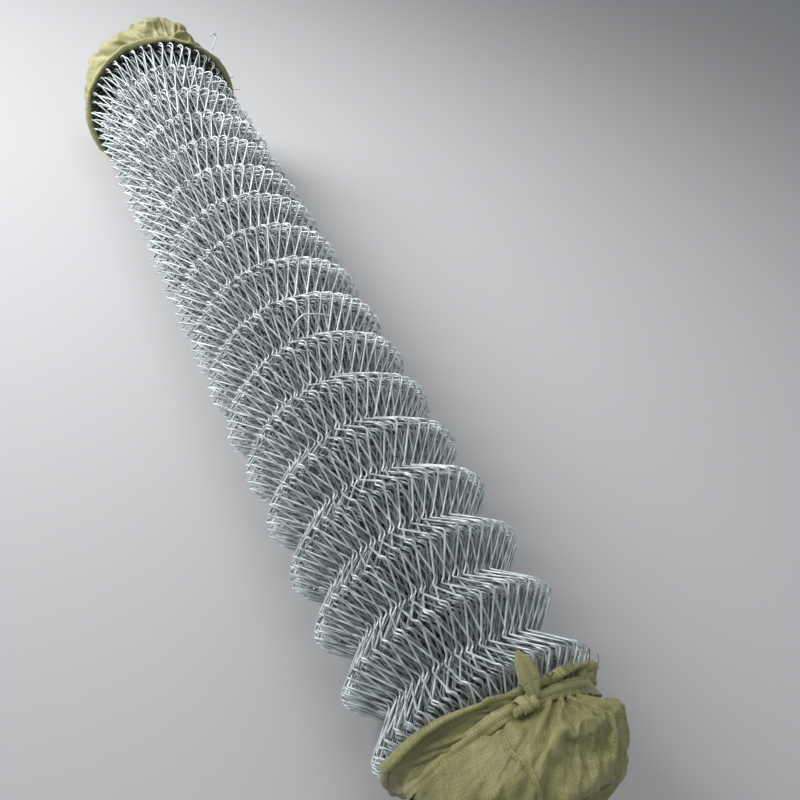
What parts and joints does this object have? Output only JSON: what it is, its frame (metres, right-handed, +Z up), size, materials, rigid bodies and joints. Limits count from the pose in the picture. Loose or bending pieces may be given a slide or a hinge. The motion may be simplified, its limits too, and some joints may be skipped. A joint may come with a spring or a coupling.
{
  "type": "roll of aquaculture wire mesh",
  "caption": "Compact roll of galvanised diamond wire mesh, its bends lined up in ridges, with a woven sack tied over each end.",
  "frame": {"origin": "on the floor, under the middle of the roll's axis", "axes": "+X along the roll's axis from the near end to the far end, +Z up, +Y to the left seen from the near end"},
  "size_m": [1.5278, 0.2716, 0.2813],
  "materials": {
    "galvanised_wire": "zinc-coated drawn wire, semi-bright",
    "woven_sack": "woven plastic sack, dull sheen",
    "sack_strip": "twisted strip of woven sack"
  },
  "bodies": {
    "root": {"mesh_roll": "galvanised_wire", "near_end_sack": "woven_sack", "far_end_sack": "woven_sack", "near_tie": "sack_strip", "far_tie": "sack_strip"}
  },
  "joints": []
}
